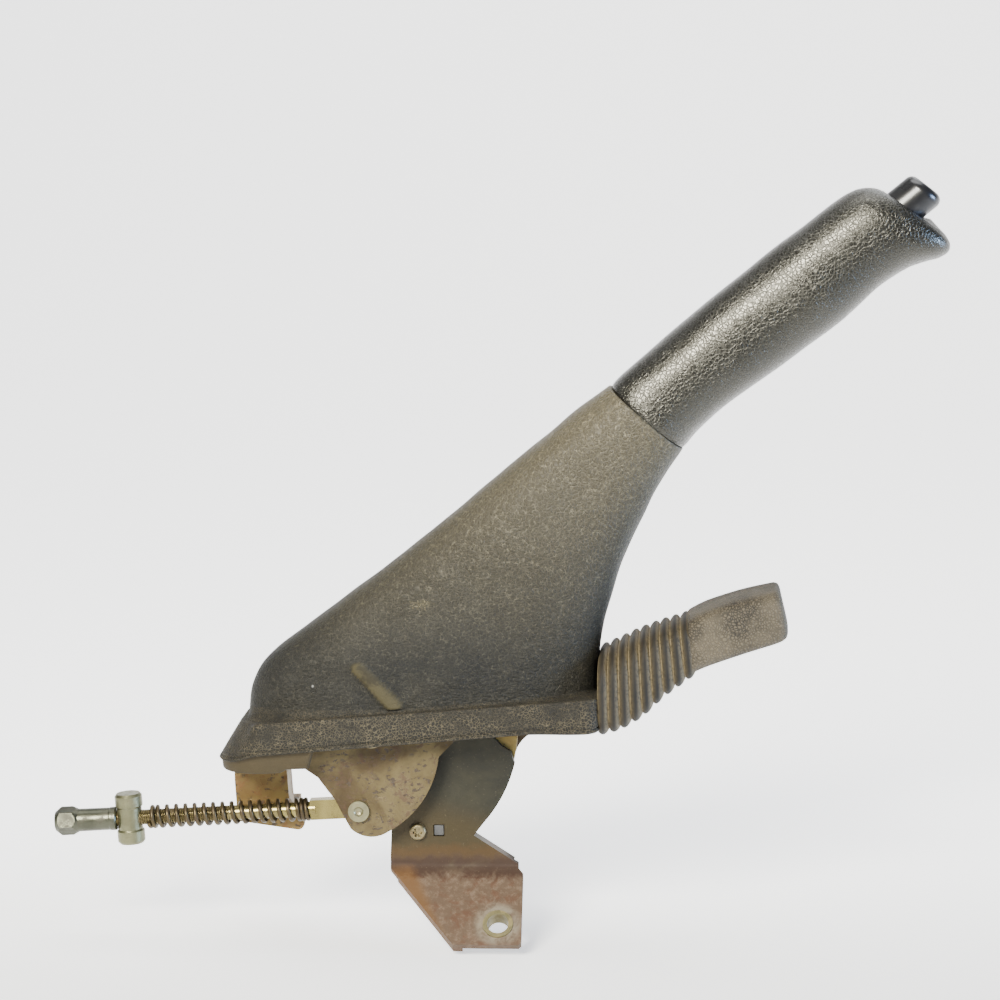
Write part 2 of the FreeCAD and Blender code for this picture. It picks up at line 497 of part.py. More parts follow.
# ---------------------------------------------------------------- files
os.makedirs("parts", exist_ok=True)
for node, shape in {
    "mounting_bracket": bracket, "front_foot_bush": foot_bush, "ratchet_sector": sector, "rear_leg": leg,
    "pivot_bolt": pivot_bolt, "pivot_nut": pivot_nut, "pivot_spacer_near": spacer_near,
    "pivot_spacer_far": spacer_far, "warning_switch_body": switch_body, "switch_terminal": terminal,
    "switch_screw": screw, "switch_plunger": plunger, "lever_plate_near": near_plate,
    "lever_plate_far": far_plate, "lever_tube": lever_tube, "channel_spacer": channel_spacer,
    "clevis_pin": clevis_pin, "clevis_clip": clevis_clip, "pawl_pin": pawl_pin, "pawl": pawl,
    "release_button": button, "release_rod": release_rod, "release_spring": release_spring,
    "button_guide": button_guide, "spring_seat": spring_seat, "pull_rod": pull_rod,
    "pull_rod_spring": rod_spring, "trunnion": trunnion, "adjuster_nut": nut, "gaiter": gaiter,
    "bellows_tongue": bellows, "grip": grip,
}.items():
    save(shape, node)
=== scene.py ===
import bpy
import json
import math
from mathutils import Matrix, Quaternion, Vector, noise


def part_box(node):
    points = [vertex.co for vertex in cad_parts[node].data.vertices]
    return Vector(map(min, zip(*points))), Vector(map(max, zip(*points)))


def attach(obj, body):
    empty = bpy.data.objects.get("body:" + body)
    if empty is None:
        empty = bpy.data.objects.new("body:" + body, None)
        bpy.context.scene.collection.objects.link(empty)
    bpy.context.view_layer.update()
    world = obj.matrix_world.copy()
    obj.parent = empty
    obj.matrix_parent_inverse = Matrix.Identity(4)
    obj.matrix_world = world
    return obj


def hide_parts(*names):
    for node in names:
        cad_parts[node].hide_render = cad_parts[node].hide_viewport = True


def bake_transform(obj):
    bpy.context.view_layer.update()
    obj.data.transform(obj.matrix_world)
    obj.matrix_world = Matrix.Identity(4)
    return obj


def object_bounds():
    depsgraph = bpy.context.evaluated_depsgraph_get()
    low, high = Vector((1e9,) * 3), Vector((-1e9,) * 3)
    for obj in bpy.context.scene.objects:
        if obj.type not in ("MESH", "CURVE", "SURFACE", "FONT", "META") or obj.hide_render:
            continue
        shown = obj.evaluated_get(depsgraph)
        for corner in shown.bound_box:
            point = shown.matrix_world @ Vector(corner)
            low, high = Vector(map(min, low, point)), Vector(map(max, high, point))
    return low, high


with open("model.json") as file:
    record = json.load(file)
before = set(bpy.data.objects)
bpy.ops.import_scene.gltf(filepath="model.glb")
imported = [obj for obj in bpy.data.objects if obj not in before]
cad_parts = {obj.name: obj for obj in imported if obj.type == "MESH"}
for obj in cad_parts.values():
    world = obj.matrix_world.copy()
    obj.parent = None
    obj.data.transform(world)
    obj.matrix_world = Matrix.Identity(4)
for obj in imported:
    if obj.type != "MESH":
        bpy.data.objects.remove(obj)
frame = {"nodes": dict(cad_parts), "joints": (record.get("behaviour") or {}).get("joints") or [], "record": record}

cad_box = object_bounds()
MM = 0.001
joints = {j["name"]: j for j in frame["joints"]}
PIVOT = Vector(joints["lever_pull"]["pos_m"])
CLEVIS = Vector(joints["pull_rod_swing"]["pos_m"])
ALONG_LEVER = -Vector(joints["button_press"]["axis"])
ABOVE_LEVER = Vector((-ALONG_LEVER.z, 0, ALONG_LEVER.x))
TO_EYE = Vector(joints["trunnion_slide"]["axis"])
ROD_START = CLEVIS.copy()
ROD_START.y = (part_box("trunnion")[0].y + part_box("trunnion")[1].y) / 2
AXIS_OFFSET = 29


def at(x, y, z):
    """Point in the row frame, from millimetres counted from the lever's pivot."""
    return PIVOT + Vector((x, y, z)) * MM


def on_lever(a, n, y=0.0):
    """Point a mm along the lever's direction and n mm above the line through the pivot."""
    return PIVOT + (ALONG_LEVER * a + ABOVE_LEVER * n + Vector((0, y, 0))) * MM


def flat(p):
    """Point of the row frame as (x, z) millimetres from the pivot."""
    q = (p - PIVOT) / MM
    return q.x, q.z


# ------------------------------------------------------------------ finishes
THREAD_PITCH = 1.0 * MM


class Number:
    """A number made by a shader node. Arithmetic on it adds Math nodes."""

    def __init__(self, finish, socket):
        self.finish, self.socket = finish, socket

    def _math(self, operation, *values, clamp=False):
        return self.finish.node("ShaderNodeMath", {"operation": operation, "use_clamp": clamp}, values)

    def __add__(self, other):
        return self._math("ADD", self, other)

    def __sub__(self, other):
        return self._math("SUBTRACT", self, other)

    def __rsub__(self, other):
        return self._math("SUBTRACT", other, self)

    def __mul__(self, other):
        return self._math("MULTIPLY", self, other)

    def __truediv__(self, other):
        return self._math("DIVIDE", self, other)

    __radd__, __rmul__ = __add__, __mul__

    def size(self):
        return self._math("ABSOLUTE", self)

    def wave(self):
        return self._math("SINE", self)

    def held(self):
        """Kept between 0 and 1."""
        return self._math("ADD", self, 0.0, clamp=True)

    def rise(self, low, high):
        """0 below low, 1 above high, and a smooth step between. low may be the larger one."""
        settings = {"interpolation_type": "SMOOTHSTEP"}
        if low < high:
            return self.finish.node("ShaderNodeMapRange", settings, (self, low, high, 0.0, 1.0))
        return self.finish.node("ShaderNodeMapRange", settings, (self, high, low, 1.0, 0.0))


class Finish:
    """One procedural material, built node by node around a Principled shader."""

    def __init__(self, name):
        self.material = bpy.data.materials.new(name)
        self.material.use_nodes = True
        self.tree = self.material.node_tree
        self.tree.nodes.clear()
        self.shader = self.tree.nodes.new("ShaderNodeBsdfPrincipled")
        surface = self.tree.nodes.new("ShaderNodeOutputMaterial")
        self.tree.links.new(self.shader.outputs[0], surface.inputs["Surface"])
        self.place = self.node("ShaderNodeTexCoord", {}, (), "Object")

    def feed(self, socket, value):
        """Links a Number to a socket, or sets the socket's own value."""
        if isinstance(value, Number):
            self.tree.links.new(value.socket, socket)
        elif isinstance(value, tuple) and len(value) == 3 and socket.type == "RGBA":
            socket.default_value = (*value, 1.0)
        else:
            socket.default_value = value

    def node(self, kind, settings, values, output=0):
        """Adds a node. values are in socket order, or a dict by socket name."""
        made = self.tree.nodes.new(kind)
        for name, setting in settings.items():
            setattr(made, name, setting)
        pairs = values.items() if isinstance(values, dict) else enumerate(values)
        for key, value in pairs:
            self.feed(made.inputs[key], value)
        return Number(self, made.outputs[output])

    def noise(self, scale, detail=4.0, rough=0.55, twist=0.0, where=None):
        """Cloudy noise, scale in cycles per metre."""
        return self.node("ShaderNodeTexNoise", {}, {
            "Vector": where or self.place, "Scale": scale, "Detail": detail, "Roughness": rough,
            "Distortion": twist})

    def cells(self, scale, where=None):
        """How far a place is from the edge of its cell, scale in cells per metre."""
        return self.node("ShaderNodeTexVoronoi", {"feature": "DISTANCE_TO_EDGE"}, {
            "Vector": where or self.place, "Scale": scale, "Randomness": 1.0}, "Distance")

    def split(self, where=None):
        """The x, y and z of a place, in metres in the row frame."""
        parts = self.tree.nodes.new("ShaderNodeSeparateXYZ")
        self.feed(parts.inputs[0], where or self.place)
        return [Number(self, parts.outputs[i]) for i in range(3)]

    def stretched(self, factors):
        """The place, scaled along each axis."""
        return self.node("ShaderNodeVectorMath", {"operation": "MULTIPLY"}, (self.place, factors))

    def turned(self, degrees, factors):
        """The place, turned about the object's cross axis and then stretched."""
        return self.node("ShaderNodeMapping", {}, {
            "Vector": self.place, "Rotation": (0.0, math.radians(degrees), 0.0), "Scale": factors})

    def warped(self, scale, reach, where=None):
        """The place, pushed about by soft noise, up to about reach metres."""
        drift = self.node("ShaderNodeTexNoise", {}, {
            "Vector": where or self.place, "Scale": scale, "Detail": 2.0}, "Color")
        away = self.node("ShaderNodeVectorMath", {"operation": "SUBTRACT"}, (drift, (0.5, 0.5, 0.5)))
        push = self.node("ShaderNodeVectorMath", {"operation": "SCALE"}, {0: away, "Scale": reach * 2})
        return self.node("ShaderNodeVectorMath", {"operation": "ADD"}, (where or self.place, push))

    def near(self, point, reach, blur=0.0, squash=(1.0, 1.0, 1.0)):
        """1 at a point and 0 beyond reach metres from it, with an edge broken up by blur metres."""
        where = self.warped(700, blur) if blur else self.place
        away = self.node("ShaderNodeVectorMath", {"operation": "SUBTRACT"}, (where, tuple(point)))
        away = self.node("ShaderNodeVectorMath", {"operation": "MULTIPLY"}, (away, squash))
        length = self.node("ShaderNodeVectorMath", {"operation": "LENGTH"}, (away,), "Value")
        return length.rise(reach, reach * 0.45)

    def mix(self, mask, a, b):
        """Colour a where mask is 0 and b where it is 1."""
        return self.node("ShaderNodeMix", {"data_type": "RGBA"}, {0: mask, 6: a, 7: b}, 2)

    def painted(self, name):
        """A number stored on the mesh's own points."""
        return self.node("ShaderNodeAttribute", {"attribute_name": name}, (), "Fac")

    def finished(self, colour, roughness, metallic=0.0, relief=None, depth=0.1, **fixed):
        """Joins the values to the shader and gives the material. depth is in mm."""
        self.feed(self.shader.inputs["Base Color"], colour)
        self.feed(self.shader.inputs["Roughness"], roughness)
        self.feed(self.shader.inputs["Metallic"], metallic)
        if relief is not None:
            bump = self.node("ShaderNodeBump", {}, {
                "Height": relief, "Distance": depth * MM, "Strength": 1.0})
            self.feed(self.shader.inputs["Normal"], bump)
        for name, value in fixed.items():
            self.feed(self.shader.inputs[name.replace("_", " ")], value)
        return self.material


def grip_vinyl():
    """Glossy black vinyl with a fine leather grain."""
    f = Finish("grip_vinyl")
    skin = f.warped(330, 0.0009)
    pebbles = f.cells(680, skin).rise(0.0, 0.16)
    small = f.cells(1500, skin).rise(0.0, 0.16)
    broad = f.noise(30, 4, 0.6)
    worn = f.noise(75, 4, 0.6).rise(0.35, 0.7)
    colour = f.mix(pebbles, (0.003, 0.003, 0.003), (0.0095, 0.009, 0.0075))
    colour = f.mix(broad.rise(0.5, 0.75) * 0.4, colour, (0.028, 0.026, 0.020))
    rough = 0.41 + 0.06 * worn - 0.17 * pebbles - 0.06 * small
    relief = pebbles + small * 0.3 + broad * 0.3
    return f.finished(colour, rough, relief=relief, depth=0.06, Specular_IOR_Level=0.80,
                      Specular_Tint=(1.0, 0.97, 0.84, 1.0))


def button_plastic():
    """Smooth black plastic with fine scratches."""
    f = Finish("button_plastic")
    scratches = f.noise(300, 5, 0.7, where=f.stretched((0.25, 1.0, 1.0)))
    haze = f.noise(80, 4)
    colour = f.mix(haze.rise(0.5, 0.75), (0.008, 0.008, 0.009), (0.02, 0.02, 0.02))
    return f.finished(colour, 0.2 + haze * 0.18, relief=scratches, depth=0.02, Coat_Weight=0.2)


def gaiter_rubber():
    """Black rubber with a leather grain, soiled along the rim, with painted light: painted shade low down, a
    lighter brown painted higher up where the light falls, and painted glints along the creases.
    """
    f = Finish("gaiter_rubber")
    z = f.split()[2]
    rim, lip, rib = f.painted("rim"), f.painted("lip"), f.painted("rib")
    skin = f.warped(240, 0.0014)
    grain = f.cells(620, skin)
    pebbles = grain.rise(0.0, 0.30)
    fine = f.cells(1350, skin)
    small = fine.rise(0.0, 0.30)
    slant = f.warped(120, 0.003, f.turned(-14, (0.40, 1.0, 1.1)))
    folds = f.cells(620, slant)
    wrinkled = f.noise(24, 3, 0.5).rise(0.36, 0.58) * z.rise(0.215, 0.13)
    cloud = f.noise(26, 5, 0.6, 0.6)
    blotch = f.noise(85, 6, 0.65, 0.4)
    glint = f.noise(700, 2, 0.6).rise(0.50, 0.68)
    height = ((z - 0.105) / 0.12).held()
    # painted light: the base colour runs from painted shade, nearly black, low down to a lit brown higher up;
    # pale, the colour of the painted glints, brightens the same way
    painted_light_base = f.mix(height, (0.0032, 0.0034, 0.0028), (0.060, 0.051, 0.031))
    pale = f.mix(height, (0.038, 0.035, 0.025), (0.240, 0.210, 0.135))
    colour = f.mix(cloud.rise(0.35, 0.7) * 0.3, painted_light_base, (0.024, 0.021, 0.013))
    # painted glints: thin pale lines on the grain's creases, sparkling where glint is high
    crease_glints = fine.rise(0.13, 0.02) * (0.20 + 0.5 * cloud) + grain.rise(0.10, 0.01) * 0.6
    colour = f.mix((crease_glints * (0.35 + 0.65 * glint)).held(), colour, pale)
    # more painted glints along the wrinkles low on the wall
    colour = f.mix(folds.rise(0.05, 0.0) * wrinkled * glint * 0.6, colour, pale)
    colour = f.mix(blotch.rise(0.60, 0.76) * 0.3, colour, (0.050, 0.043, 0.026))
    colour = f.mix(rim * 0.6, colour, (0.0105, 0.0088, 0.0055))
    crackle = f.cells(900, skin).rise(0.10, 0.0) * rim
    colour = f.mix(crackle * blotch.rise(0.30, 0.60) * 0.6, colour, (0.120, 0.099, 0.058))
    colour = f.mix(rib * 0.8, colour, (0.048, 0.040, 0.017))
    colour = f.mix(rib * blotch.rise(0.52, 0.62) * 0.7, colour, (0.012, 0.010, 0.005))
    colour = f.mix(lip * (0.75 + 0.25 * blotch), colour, (0.036, 0.026, 0.0105))
    scuff = f.near(at(20.5, -21.0, 54.0), 0.0036, 0.004, (0.6, 0.3, 1.8)) * fine.rise(0.05, 0.35)
    scratch = f.near(at(-21.6, -24.0, 21.6), 0.0005, 0.0006, (0.6, 0.2, 0.5))
    colour = f.mix(scuff * 0.6, colour, (0.20, 0.17, 0.09))
    colour = f.mix(scratch, colour, (0.34, 0.34, 0.32))
    rough = 0.56 - 0.20 * height + 0.10 * blotch + 0.08 * rim + 0.10 * rib
    relief = pebbles * (0.55 + 0.45 * height) + small * (0.40 - 0.2 * height)
    relief = relief + folds.rise(0.0, 0.12) * wrinkled * 0.8 + blotch * 0.4
    relief = relief * (1 - 0.8 * lip) * (1 - 0.5 * rib)
    return f.finished(colour, rough.held(), relief=relief, depth=0.20, Specular_IOR_Level=0.26)


def bellows_rubber():
    """Dark matt rubber, tan in the folds and more on one flank of each, with a grained pad at the end."""
    f = Finish("bellows_rubber")
    groove, pad = f.painted("groove"), f.painted("pad")
    pebbles = f.cells(900, f.warped(300, 0.001)).rise(0.0, 0.3)
    grit = f.noise(900, 4, 0.7)
    cloud = f.noise(50, 5, 0.6)
    colour = f.mix(cloud.rise(0.35, 0.7), (0.005, 0.0042, 0.003), (0.013, 0.0102, 0.006))
    groove_tan = groove * (0.35 + 0.65 * grit.rise(0.36, 0.56))
    colour = f.mix(groove_tan, colour, (0.185, 0.145, 0.078))
    leather = f.mix(pebbles, (0.016, 0.0135, 0.0095), (0.078, 0.064, 0.042))
    leather = f.mix(cloud.rise(0.4, 0.66) * 0.4, leather, (0.14, 0.115, 0.075))
    colour = f.mix(pad, colour, leather)
    relief = grit * 0.3 + pebbles * pad * 0.9
    return f.finished(colour, 0.66 + 0.12 * grit, relief=relief, depth=0.18, Specular_IOR_Level=0.3)


def yellow_zinc(name, bright, dull, rust, rust_level, shine=0.75):
    """Yellow passivated zinc plate, stained and pitted with rust."""
    f = Finish(name)
    broad = f.noise(60, 6, 0.62, 0.5)
    stain = f.noise(190, 6, 0.68, 0.3)
    pits = f.noise(900, 4, 0.7)
    flecks = f.noise(520, 3, 0.55, where=f.stretched((0.8, 1.0, 1.2)))
    pitted = flecks.rise(0.57, 0.62) * f.noise(85, 3, 0.6).rise(0.42, 0.54)
    rusted = (stain + 0.45 * pits).rise(rust_level, rust_level + 0.14)
    colour = f.mix(broad.rise(0.3, 0.7), bright, dull)
    colour = f.mix(rusted * 0.7, colour, rust)
    colour = f.mix(pitted * 0.9, colour, (0.024, 0.013, 0.005))
    rough = 0.38 + 0.25 * broad + 0.25 * rusted
    metal = shine - 0.5 * rusted - 0.4 * pitted
    relief = pits * 0.5 - pitted * 0.9 + rusted * 0.35 + stain * 0.4
    return f.finished(colour, rough.held(), metal.held(), relief, 0.16)


def bracket_steel():
    """Dark oily plate, brown low down, with a rusty foot under the bend."""
    f = Finish("bracket_steel")
    x, _, z = f.split()
    broad = f.noise(45, 6, 0.62, 0.5)
    stain = f.noise(150, 6, 0.68, 0.4)
    pits = f.noise(850, 4, 0.7)
    flakes = f.noise(330, 5, 0.72)
    greasy = (z + 0.3 * x + 0.012 * broad).rise(0.050, 0.034)
    foot = (z + 0.006 * stain).rise(0.0235, 0.0175)
    hole = f.node("ShaderNodeVectorMath", {"operation": "LENGTH"}, (f.place,), "Value")
    ring = hole.rise(0.0108, 0.0070) * stain.rise(0.34, 0.58)
    glow = (z + 0.008 * stain - 0.0275).size().rise(0.0055, 0.0015)
    bend = (z + 0.008 * stain - 0.0228).size().rise(0.0058, 0.0018) * broad.rise(0.24, 0.5)
    edge = (x + 0.62 * z + 0.004 * stain).rise(-0.0195, -0.0245) * foot
    colour = f.mix(broad.rise(0.35, 0.7), (0.011, 0.0105, 0.006), (0.022, 0.020, 0.010))
    colour = f.mix(greasy, colour, (0.032, 0.0225, 0.0065))
    colour = f.mix(glow * 0.6, colour, (0.060, 0.029, 0.006))
    colour = f.mix(foot, colour, (0.066, 0.038, 0.019))
    colour = f.mix(foot * flakes.rise(0.44, 0.66) * 0.6, colour, (0.145, 0.098, 0.060))
    colour = f.mix(foot * stain.rise(0.48, 0.62) * 0.7, colour, (0.062, 0.022, 0.006))
    colour = f.mix(bend * 0.85, colour, (0.022, 0.0075, 0.002))
    colour = f.mix(edge * 0.85, colour, (0.095, 0.042, 0.008))
    colour = f.mix(pits.rise(0.6, 0.75) * 0.3, colour, (0.20, 0.155, 0.09))
    colour = f.mix(ring * 0.6, colour, (0.22, 0.195, 0.14))
    rough = 0.36 + 0.22 * foot + 0.2 * stain + 0.3 * bend
    metal = 0.45 - 0.35 * foot - 0.3 * bend
    relief = pits * 0.45 + stain * 0.5 + flakes * foot * 0.6
    return f.finished(colour, rough.held(), metal.held(), relief, 0.22)


def plated(name, colour, stain_colour, level, rough, thread=False):
    """Bright or dull zinc plate with stains; thread adds the pull rod's screw thread."""
    f = Finish(name)
    broad = f.noise(120, 5, 0.6, 0.4)
    stain = f.noise(330, 6, 0.68)
    pits = f.noise(1800, 3, 0.7)
    stained = stain.rise(level, level + 0.16)
    tint = f.mix(broad.rise(0.35, 0.65), colour, tuple(c * 0.72 for c in colour))
    tint = f.mix(stained * 0.75, tint, stain_colour)
    relief = pits * 0.4 + stain * 0.4
    if thread:
        x, y, z = f.split()
        down = (x * -TO_EYE.x + z * -TO_EYE.z) + ROD_START.dot(TO_EYE)
        around = f.node("ShaderNodeMath", {"operation": "ARCTAN2"},
                        (y - ROD_START.y, z - ROD_START.z))
        turns = (down * (2 * math.pi / THREAD_PITCH) + around).wave()
        cut = down.rise(0.052, 0.055)
        relief = relief * 0.4 + turns * cut * 1.6
        tint = f.mix(cut * turns.rise(0.2, -0.8) * 0.7, tint, (0.10, 0.07, 0.035))
        tint = f.mix(down.rise(0.030, 0.036) * (0.4 + 0.4 * stained), tint, (0.13, 0.10, 0.06))
    return f.finished(tint, rough + 0.22 * stained, 0.85 - 0.4 * stained, relief, 0.12)


def plain_plastic(name, colour, rough):
    """Moulded plastic with a faint cloudy tint."""
    f = Finish(name)
    cloud = f.noise(140, 5)
    grain = f.noise(2200, 3)
    tint = f.mix(cloud.rise(0.4, 0.7), colour, tuple(0.6 * c + 0.04 for c in colour))
    return f.finished(tint, rough + 0.15 * cloud, relief=grain, depth=0.05)


FINISHES = {
    "grip_vinyl": grip_vinyl(),
    "button_plastic": button_plastic(),
    "gaiter_rubber": gaiter_rubber(),
    "bellows_rubber": bellows_rubber(),
    "bracket_steel": bracket_steel(),
    "lever_steel": yellow_zinc("lever_steel", (0.112, 0.085, 0.035), (0.042, 0.026, 0.008),
                               (0.042, 0.016, 0.003), 0.75, 0.5),
    "leg_steel": yellow_zinc("leg_steel", (0.175, 0.120, 0.036), (0.125, 0.072, 0.018),
                             (0.14, 0.058, 0.012), 0.74, 0.45),
    "sector_steel": yellow_zinc("sector_steel", (0.30, 0.235, 0.085), (0.20, 0.14, 0.046),
                                (0.11, 0.055, 0.015), 0.82),
    "bush_steel": plated("bush_steel", (0.27, 0.235, 0.115), (0.17, 0.13, 0.05), 0.45, 0.34),
    "fastener_steel": plated("fastener_steel", (0.27, 0.23, 0.14), (0.15, 0.09, 0.04), 0.56, 0.38),
    "screw_steel": plated("screw_steel", (0.21, 0.175, 0.095), (0.11, 0.065, 0.025), 0.5, 0.34),
    "pin_steel": plated("pin_steel", (0.25, 0.235, 0.14), (0.15, 0.11, 0.05), 0.56, 0.34),
    "rod_steel": plated("rod_steel", (0.26, 0.215, 0.076), (0.095, 0.06, 0.02), 0.56, 0.26, thread=True),
    "spring_steel": plated("spring_steel", (0.085, 0.064, 0.032), (0.032, 0.018, 0.008), 0.47, 0.38),
    "trunnion_zinc": plated("trunnion_zinc", (0.185, 0.182, 0.105), (0.11, 0.10, 0.052), 0.5, 0.36),
    "nut_zinc": plated("nut_zinc", (0.080, 0.082, 0.058), (0.044, 0.041, 0.025), 0.48, 0.30),
    "switch_plastic": plain_plastic("switch_plastic", (0.03, 0.03, 0.03), 0.5),
    "plunger_plastic": plain_plastic("plunger_plastic", (0.6, 0.58, 0.5), 0.4),
    "terminal_brass": plated("terminal_brass", (0.72, 0.55, 0.28), (0.3, 0.2, 0.08), 0.6, 0.35),
}


# ------------------------------------------------------------------ mesh tools
def piece(name, points, faces, finish, body, replaced=(), marks=None):
    """A new smooth mesh piece of the object. marks are numbers per point, for its finish."""
    mesh = bpy.data.meshes.new(name)
    mesh.from_pydata([tuple(p) for p in points], [], faces)
    mesh.validate()
    for polygon in mesh.polygons:
        polygon.use_smooth = True
    for mark, values in (marks or {}).items():
        layer = mesh.attributes.new(mark, "FLOAT", "POINT")
        layer.data.foreach_set("value", values)
    mesh.materials.append(FINISHES[finish])
    made = bpy.data.objects.new(name, mesh)
    bpy.context.scene.collection.objects.link(made)
    if body:
        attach(made, body)
    if replaced:
        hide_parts(*replaced)
    return made


class Skin:
    """Grows a mesh from hoops of equal count, each joined to the last."""

    def __init__(self):
        self.points, self.faces, self.marks = [], [], {}

    def hoop(self, points, join=True, **marks):
        """Adds a hoop. marks are numbers for its points: one for all, or a list."""
        count, start = len(points), len(self.points)
        self.points += points
        for name in set(self.marks) | set(marks):
            values = self.marks.setdefault(name, [0.0] * start)
            value = marks.get(name, 0.0)
            values += list(value) if isinstance(value, (list, tuple)) else [value] * count
        if join and start:
            for i in range(count):
                k = (i + 1) % count
                self.faces.append((start - count + i, start - count + k, start + k, start + i))


ROUNDED_STEPS = 720


def rounded(rear, front, half, power, count):
    """Hoop across the lever from (x, z) rear to front, half wide each side, evenly spaced round it."""
    middle = ((rear[0] + front[0]) / 2, (rear[1] + front[1]) / 2)
    reach = ((front[0] - rear[0]) / 2, (front[1] - rear[1]) / 2)
    raw = []
    for i in range(ROUNDED_STEPS):
        t = 2 * math.pi * i / ROUNDED_STEPS
        c = math.copysign(abs(math.cos(t)) ** (2 / power), math.cos(t))
        s = math.copysign(abs(math.sin(t)) ** (2 / power), math.sin(t))
        raw.append(Vector((middle[0] + reach[0] * c, half * s, middle[1] + reach[1] * c)))
    return even(raw, count)


def even(raw, count):
    """count points evenly spaced round a closed line."""
    lengths = [0.0]
    for a, b in zip(raw, raw[1:] + raw[:1]):
        lengths.append(lengths[-1] + (b - a).length)
    spaced, k = [], 0
    for i in range(count):
        want = lengths[-1] * i / count
        while lengths[k + 1] < want:
            k += 1
        share = (want - lengths[k]) / max(lengths[k + 1] - lengths[k], 1e-12)
        spaced.append(raw[k].lerp(raw[(k + 1) % len(raw)], share))
    return spaced


def smooth_track(rows, t):
    """Catmull-Rom curve through rows of equal length, at t counted in rows."""
    i = min(int(t), len(rows) - 2)
    s = t - i
    a, b = rows[i], rows[i + 1]
    before = rows[i - 1] if i else [2 * p - q for p, q in zip(a, b)]
    after = rows[i + 2] if i + 2 < len(rows) else [2 * q - p for p, q in zip(a, b)]
    return [0.5 * (2 * p + (q - o) * s + (2 * o - 5 * p + 4 * q - r) * s * s
                   + (3 * p - o - 3 * q + r) * s ** 3)
            for o, p, q, r in zip(before, a, b, after)]


def smoothstep(low, high, value):
    """0 at low, 1 at high and smooth between. low may be the larger one."""
    t = min(max((value - low) / (high - low), 0.0), 1.0)
    return t * t * (3 - 2 * t)


def distance_to(a, b, p):
    """Distance from p to the line piece a-b, and how far along it, all in (x, z) mm."""
    dx, dz = b[0] - a[0], b[1] - a[1]
    t = ((p[0] - a[0]) * dx + (p[1] - a[1]) * dz) / (dx * dx + dz * dz)
    t = min(max(t, 0.0), 1.0)
    return math.hypot(p[0] - a[0] - dx * t, p[1] - a[1] - dz * t), t


def tube_line(line, radius, sides=10):
    """Points and faces of a round wire along a line of points."""
    points, faces = [], []
    normal = Vector((0, 1, 0))
    for i, p in enumerate(line):
        ahead = (line[min(i + 1, len(line) - 1)] - line[max(i - 1, 0)]).normalized()
        normal = (normal - ahead * normal.dot(ahead)).normalized()
        side = ahead.cross(normal)
        for k in range(sides):
            t = 2 * math.pi * k / sides
            points.append(p + (normal * math.cos(t) + side * math.sin(t)) * radius)
    for i in range(len(line) - 1):
        for k in range(sides):
            m = (k + 1) % sides
            faces.append((i * sides + k, i * sides + m, (i + 1) * sides + m, (i + 1) * sides + k))
    faces.append(tuple(range(sides))[::-1])
    faces.append(tuple(range(len(points) - sides, len(points))))
    return points, faces


# ------------------------------------------------------------------ gaiter
ROUND = 232
WALL_STEPS = 190
WALL_START = 0.45
WALL_CLEAR = 1.4
# rear x and z, front x and z, half width and squareness of the wall's sections
GAITER = [(-50.0, 5.0, 89.0, 4.0, 24.5, 3.4), (-47.6, 20.0, 89.8, 26.0, 24.0, 3.2),
          (-38.6, 32.6, 91.3, 41.0, 23.5, 3.0), (-10.0, 54.0, 95.0, 55.0, 22.5, 2.8),
          (20.0, 76.7, 99.5, 69.0, 21.0, 2.6), (50.0, 101.8, 108.0, 87.0, 19.5, 2.5),
          (76.0, 123.1, 116.0, 101.5, 18.5, 2.4), (94.4, 137.2, 123.2, 112.4, 18.0, 2.3)]
SIDE_RIB = ((-3.2, 28.6), (10.6, 14.4))
RIB_HALF, RIB_RAISE, RIB_CLEAR = 2.5, 1.5, 8
BAND_REAR, BAND_FRONT, BAND_HALF, BAND_WALL = -61.4, 90.6, 28.0, 3.4
LIP_INSET = 1.6
BEAD = ((1.2, 0.0, 0.5), (0.5, -0.15, 0.2), (0.12, 0.2, 0.0), (0.05, 0.7, 0.0), (0.3, 1.05, 0.0),
        (0.75, 1.35, 0.0), (0.75, 1.6, 0.0), (0.3, 1.95, 0.0), (0.05, 2.5, 0.0))
COLLAR = ((0.5, 0.35), (1.6, 0.3), (2.4, -3.0), (2.4, -14.0))


def gaiter_hoop(t, wall=0.0):
    """Section of the wall at t counted in GAITER rows, wall mm inside the outer face."""
    x0, z0, x1, z1, half, power = smooth_track(GAITER, t)
    span = math.hypot(x1 - x0, z1 - z0)
    dx, dz = (x1 - x0) / span * wall, (z1 - z0) / span * wall
    return rounded((x0 + dx, z0 + dz), (x1 - dx, z1 - dz), half - wall, power, ROUND)


def band_top(x):
    """Height of the band's upper edge."""
    return 10.7 + 0.077 * x


def band_low(x):
    """Height of the band's straight lower edge, a little lower at both ends."""
    return -1.7 + 0.0865 * x - 2.2 * smoothstep(-43.0, -56.0, x) - 1.8 * smoothstep(60.0, 88.0, x)


def lip_low(x):
    """Height of the flap under the band's rear part; it ends in a step."""
    deep = -13.3 + 0.03 * (x + 61.4) + 1.5 * smoothstep(-36.5, -33.5, x)
    short = band_low(x) + 0.7
    return short + (deep - short) * smoothstep(-22.5, -25.0, x)


def band_plan(x0, x1, half, rear_corner, front_corner):
    """Flat hoop of the band: well rounded at the rear, nearly square at the front."""
    raw = []
    for x, y, r, turn in ((x1, half, front_corner, 0), (x0, half, rear_corner, 90),
                          (x0, -half, rear_corner, 180), (x1, -half, front_corner, 270)):
        centre = Vector((x - math.copysign(r, x - 10), y - math.copysign(r, y), 0))
        for a in range(0, 91, 6):
            t = math.radians(turn + a)
            raw.append(centre + Vector((r * math.cos(t), r * math.sin(t), 0)))
    return even([Vector((x1, 0, 0))] + raw, ROUND)


